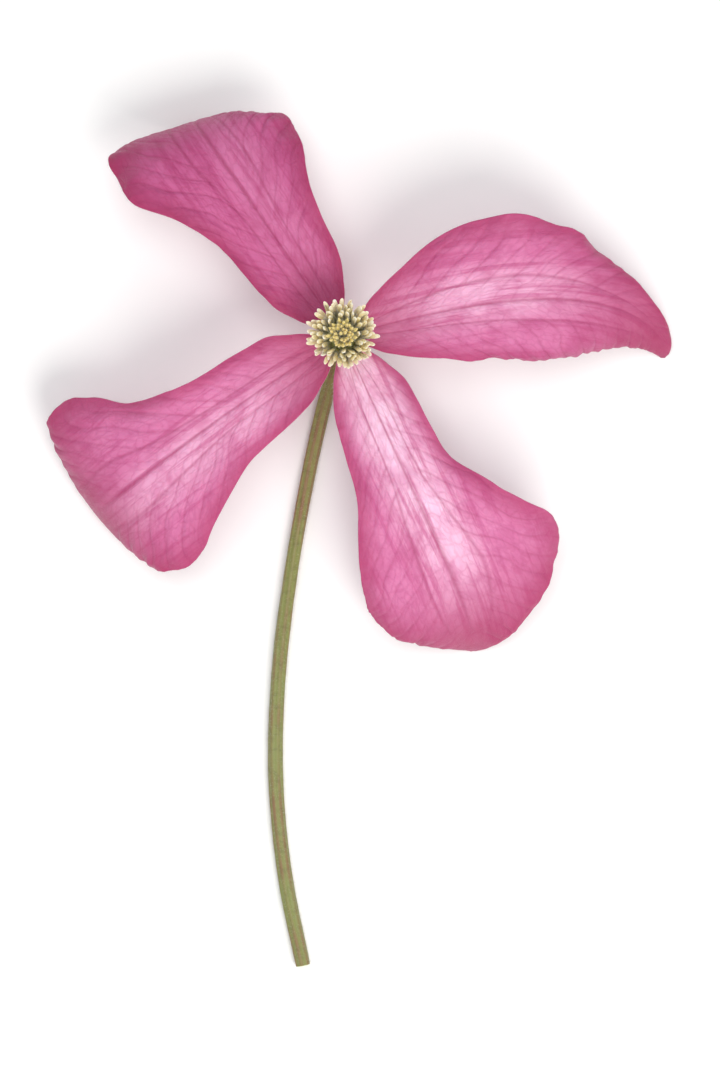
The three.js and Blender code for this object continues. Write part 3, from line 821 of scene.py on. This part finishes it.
def makeStyles(material):
    # half width = shaft + (carpel - shaft) exp(-((share - place) / length)^2), wider at the stigma and
    # narrowing again to its point
    dice = np.random.default_rng(style["seed"])
    count, rings, sides = style["count"], style["rings"], style["sides"]
    shaft = style["shaft"]
    outward = np.sqrt((np.arange(count) + 0.5) / count)
    azimuth = np.arange(count) * goldenAngle + style["firstAngle"]
    length = between(style["length"], outward) + style["extra"] * dice.random(count)
    start = np.radians(between(style["lean"], outward))
    end = np.radians(between(style["endLean"], outward) + style["stray"] * (dice.random(count) - 0.5))
    height = bloom["receptacleTop"] - style["sunk"]
    paths, share = arcs(style["spread"] * outward, height, azimuth, start, end, length, rings)
    swollen = np.exp(-((share - style["carpelAt"]) / style["carpelLength"]) ** 2)
    half = shaft + (style["carpel"] - shaft) * swollen
    half = half + (style["stigma"] - shaft) * smoothStep(*style["stigmaFrom"], share)
    half = half * (1 - style["stigmaPoint"] * smoothStep(style["stigmaFrom"][1], 1.0, share))
    around = compass(azimuth)[1]
    points, faces = tubes(paths, around[:, None] + 0 * paths, half, half * style["flat"], sides)
    # silky hairs lie along each style, tips up
    where = dice.random((count, style["hairs"])) * 0.72 + 0.2
    low = np.clip((where * (rings - 1)).astype(int), 0, rings - 2)
    rest = (where * (rings - 1) - low)[..., None]
    row = np.arange(count)[:, None]
    middle = paths[row, low] * (1 - rest) + paths[row, low + 1] * rest
    outwards = compass(dice.random((count, style["hairs"])) * 2 * math.pi)[0]
    feet = (middle + outwards * style["hairFoot"]).reshape(-1, 3)
    ways = outwards * 0.55 + np.array([0, 0, 1.0]) + 0.2 * dice.random((count, style["hairs"], 3))
    lengths = style["hairLength"] * (0.6 + 0.6 * dice.random(len(feet)))
    hairPoints, hairFaces = spikes(feet, unit(ways.reshape(-1, 3)), lengths, style["hairRadius"])
    parts = [
        (points, faces, {"along": perRing(share, sides), "hair": 0.0}),
        (hairPoints, hairFaces, {"along": np.repeat(where.ravel(), 4), "hair": 1.0}),
    ]
    makePiece("style_tuft", parts, material, "pistil")


def styleMaterial():
    # yellowish green, paler upwards, with warm tips, darker mottling and pale hairs
    material, tree, shader = newMaterial("style_green")
    along, hair = stored(tree, "along", "hair")
    where = newNode(tree, "ShaderNodeTexCoord").outputs["Object"]
    mottle = noise(where, style["mottleScale"], detail=2, roughness=0.6)
    low, high = style["colours"]
    colour = paintOver(low, [
        (ramp(along, 0.2, 0.9), high),
        (ramp(along, 0.86, 1, 0, 0.6), style["tipColour"]),
        (ramp(mottle, 0.45, 0.7, 0, 0.35), style["mottleColour"]),
        (product(hair, 0.8), style["hairColour"]),
    ])
    finishShader(shader, colour, mottle, style)
    return material


makeStyles(styleMaterial())
print("styles made")


stem = {
    "radius": 0.78, "flat": 0.06, "neckDrop": 3.4,
    "route": [(0, 0), (0, 0), (-0.4, -1.2), (-1.3, -4.4), (-2.5, -9), (-4, -16), (-5.6, -25),
              (-7, -36), (-7.4, -48), (-6.4, -59), (-4.4, -69)],  # x, y in mm, top to cut end
    "dropped": (0.4, -1.2, -3.6),  # first three heights over the neck
    "rise": 1.7,  # height of the fourth point
    "head": [[0, 1.6], [0.25, 2.2], [0.9, 2.42], [1.6, 2.2], [2.3, 1.55], [3.2, 0.98],
             [4.2, 0.78], [6, 0.78]],  # distance from the top, radius
    "headRings": 40, "rings": 460, "sides": 60,
    "uneven": 0.025, "unevenLength": 5.0,  # share of the radius, mm
    "ridges": 6, "ridgeHeight": 0.1, "ridgeFrom": (1.5, 5), "twist": 1.4,
    "grain": 0.015, "grainLength": 1.4, "grainCount": 36,
    "cutStep": 0.01,  # between the rings of the cut end, which are pushed out or in and narrowed
    "cutPush": (0, 0, 0.03, 0.03, -0.07, -0.1), "cutShare": (1, 0.95, 0.86, 0.6, 0.48, 0.3),
    "hairs": 5600, "hairLength": 0.36, "hairRadius": 0.012, "hairSeed": 5,
    "firstHairs": 14,  # ring where they begin, on the side of the head
    "greens": ((164, 172, 96), (134, 142, 78)),  # below the head, further down
    "headColour": (200, 202, 124), "flushColour": (142, 92, 74), "speckColour": (96, 88, 54),
    "cutColour": (186, 194, 126), "pithColour": (232, 230, 206), "fibreColour": (140, 128, 84),
    "hairColour": (228, 222, 202),
    "patchScale": 110.0, "grainScale": 1500.0,
    "bump": (0.4, 0.00008),
    "shader": {"Subsurface Weight": 0.12, "Subsurface Radius": (0.6, 1.0, 0.3), "Subsurface Scale": 0.0005},
}


def smoothRoute(points, steps):
    # centripetal Catmull-Rom: each span is a cubic whose end slopes weigh the neighbouring spans by
    # the square roots of their lengths
    p = np.vstack([2 * points[0] - points[1], points, 2 * points[-1] - points[-2]])
    knot = np.sqrt(np.maximum(np.linalg.norm(np.diff(p, axis=0), axis=1), 1e-9))[:, None]
    at = np.linspace(0, len(points) - 1, steps)
    i = np.minimum(at.astype(int), len(points) - 2) + 1
    s = (at - (i - 1))[:, None]
    before, here, after = knot[i - 1], knot[i], knot[i + 1]
    p0, p1, p2, p3 = p[i - 1], p[i], p[i + 1], p[i + 2]
    t1 = ((p1 - p0) / before - (p2 - p0) / (before + here) + (p2 - p1) / here) * here
    t2 = ((p2 - p1) / here - (p3 - p1) / (here + after) + (p3 - p2) / after) * here
    return ((2 * s**3 - 3 * s**2 + 1) * p1 + (s**3 - 2 * s**2 + s) * t1
            + (3 * s**2 - 2 * s**3) * p2 + (s**3 - s**2) * t2)


def stemPath():
    # straight down from the head's flat top, then along the route in even steps
    neck = bloom["receptacleTop"] - stem["neckDrop"]
    heights = [neck + d for d in stem["dropped"]] + [stem["rise"]]
    heights += [stem["radius"] - stem["flat"]] * (len(stem["route"]) - len(heights))
    fine = smoothRoute(np.column_stack([np.array(stem["route"], float), heights]), 4000)
    distances = distanceAlong(fine)
    even = np.linspace(0, distances[-1], stem["rings"])
    route = np.column_stack([np.interp(even, distances, fine[:, k]) for k in range(3)])
    down = np.linspace(bloom["receptacleTop"], route[0, 2], stem["headRings"], endpoint=False)
    head = np.column_stack([0 * down, 0 * down, down])
    forward = unit(route[-1] - route[-2])
    cut = route[-1] + forward * stem["cutStep"] * np.arange(1, len(stem["cutPush"]) + 1)[:, None]
    return np.vstack([head, route, cut])


def makeStem(material):
    # radius = head or stem radius + ridges |cos|^1.5 + grain; the cut end steps in to a sunken pith
    path = stemPath()
    sides, cutRings = stem["sides"], len(stem["cutPush"])
    along = distanceAlong(path)
    radius = curveThrough(stem["head"], np.minimum(along, stem["head"][-1][0] - 0.01))
    radius = radius * (1 + stem["uneven"] * bumps(along / stem["unevenLength"], 0 * along, 31.0))
    angle = np.linspace(0, 2 * math.pi, sides, endpoint=False)
    turn = stem["ridges"] * (angle[None] + stem["twist"] * along[:, None] / along[-1])
    ridge = np.abs(np.cos(turn / 2)) ** 1.5 * smoothStep(*stem["ridgeFrom"], along)[:, None]
    around = angle[None] * stem["grainCount"] / (2 * math.pi)
    grain = bumps(along[:, None] / stem["grainLength"], around, 41.0)
    section = radius[:, None] + stem["ridgeHeight"] * (ridge - 0.6) + stem["grain"] * grain
    section[-cutRings:] = section[-cutRings - 1] * np.array(stem["cutShare"])[:, None]
    push = np.zeros(len(path))
    push[-cutRings:] = stem["cutPush"]
    sideways = np.tile([1.0, 0.0, 0.0], (1, len(path), 1))
    body, faces = tubes(path[None], sideways, section[None], section[None], sides, push[None])
    body[:, 2] = np.maximum(body[:, 2], 0.0)
    # hairs stand out from the stem below its head
    dice = np.random.default_rng(stem["hairSeed"])
    row = dice.integers(stem["firstHairs"], len(path) - cutRings - 2, stem["hairs"])
    feet = body[row * sides + dice.integers(0, sides, stem["hairs"])]
    ways = unit(unit(feet - path[row]) + 0.6 * (dice.random((stem["hairs"], 3)) - 0.5)
                + 0.35 * unit(path[row + 1] - path[row]))
    lengths = stem["hairLength"] * (0.35 + 0.75 * dice.random(stem["hairs"]))
    hairPoints, hairFaces = spikes(feet, ways, lengths, stem["hairRadius"], lowest=0.02)
    ringsLeft = len(path) - np.arange(len(path))
    ends = [ridge[0].mean(), 0.0]
    fields = {
        "along": perRing(along[None] / along[-1], sides),
        "ridge": np.concatenate([ridge.ravel(), ends]),
        "cut": perRing(ringsLeft[None] < cutRings, sides),
        "pith": perRing(ringsLeft[None] < 3, sides),
        "hair": 0.0,
    }
    hairFields = {"along": 0.5, "ridge": 0.5, "cut": 0.0, "pith": 0.0, "hair": 1.0}
    parts = [(body, faces, fields), (hairPoints, hairFaces, hairFields)]
    makePiece("stem_and_head", parts, material, "pedicel")


def stemMaterial():
    # green furrows, ridges flushed with reddish brown in patches, a pale cut with a white pith
    material, tree, shader = newMaterial("stem_green")
    along, ridge, cut, pith, hair = stored(tree, "along", "ridge", "cut", "pith", "hair")
    where = newNode(tree, "ShaderNodeTexCoord").outputs["Object"]
    broad = noise(where, stem["patchScale"], detail=3, roughness=0.6)
    fine = noise(where, stem["grainScale"], detail=3, roughness=0.6)
    green = blendColours(ramp(along, 0.03, 0.4), *stem["greens"])
    flush = mathNode("MAXIMUM", ramp(ridge, 0.25, 0.9, 0, 0.75), 0.2)
    flush = product(flush, ramp(broad, 0.36, 0.62, 0.25, 1), ramp(along, 0.06, 0.14))
    cutFace = paintOver(stem["cutColour"], [
        (pith, stem["pithColour"]),
        (ramp(fine, 0.5, 0.66, 0, 0.4), stem["fibreColour"]),
    ])
    colour = paintOver(stem["headColour"], [
        (ramp(along, 0, 0.03), green),
        (flush, stem["flushColour"]),
        (ramp(fine, 0.45, 0.7, 0, 0.35), stem["speckColour"]),
        (cut, cutFace),
        (product(hair, 0.8), stem["hairColour"]),
    ])
    finishShader(shader, colour, fine, stem)
    setInputs(shader, {"Roughness": ramp(broad, 0.3, 0.7, 0.46, 0.62)})
    return material


makeStem(stemMaterial())
print("stem made")


studio = {
    "floor": (250, 249, 247), "floorRoughness": 0.85, "floorSize": 3.0,
    "world": (0.96, 0.98, 1.0), "worldStrength": 0.58,
    "key": {"location": (0.2, -0.36, 0.56), "size": 0.4, "power": 2.6, "colour": (1.0, 0.985, 0.96)},
    "fill": {"location": (-0.06, 0.14, 0.75), "size": 0.4, "power": 1.6, "colour": (0.96, 0.98, 1.0)},
    "target": (0.0, 0.0, 0.006),
    "distance": 0.6, "lens": 183.0,
}


def makeFloor():
    # one plain square, centred under the part
    material, _, shader = newMaterial("plain_floor")
    setInputs(shader, {"Base Color": linear(studio["floor"]), "Roughness": studio["floorRoughness"]})
    mesh = bpy.data.meshes.new("floor")
    size = studio["floorSize"]
    corners = [(-size, -size, 0), (size, -size, 0), (size, size, 0), (-size, size, 0)]
    mesh.from_pydata(corners, [], [(0, 1, 2, 3)])
    mesh.materials.append(material)
    newObject("floor", mesh)


def makeLight(name):
    # a round area light that faces the target
    settings = studio[name]
    data = bpy.data.lights.new(name, "AREA")
    data.shape = "DISK"
    data.size = settings["size"]
    data.energy = settings["power"]
    data.color = settings["colour"]
    light = newObject(name, data)
    light.location = settings["location"]
    light.rotation_euler = (Vector(studio["target"]) - light.location).to_track_quat("-Z", "Y").to_euler()


def makeWorld():
    # even, slightly cool light from all round
    world = bpy.data.worlds.new("soft_room")
    world.use_nodes = True
    background = world.node_tree.nodes["Background"]
    setInputs(background, {"Color": (*studio["world"], 1.0), "Strength": studio["worldStrength"]})
    bpy.context.scene.world = world
    bpy.context.scene.view_settings.view_transform = "Standard"


def makeCamera():
    # straight above, as the photographed bloom faces the viewer
    data = bpy.data.cameras.new("camera")
    data.lens = studio["lens"]
    data.sensor_width = 36.0
    data.clip_start = 0.01
    camera = newObject("camera", data)
    camera.location = Vector(studio["target"]) + Vector((0.0, 0.0, studio["distance"]))
    bpy.context.scene.camera = camera


makeFloor()
makeLight("key")
makeLight("fill")
makeWorld()
makeCamera()
print("floor, lights and camera made")
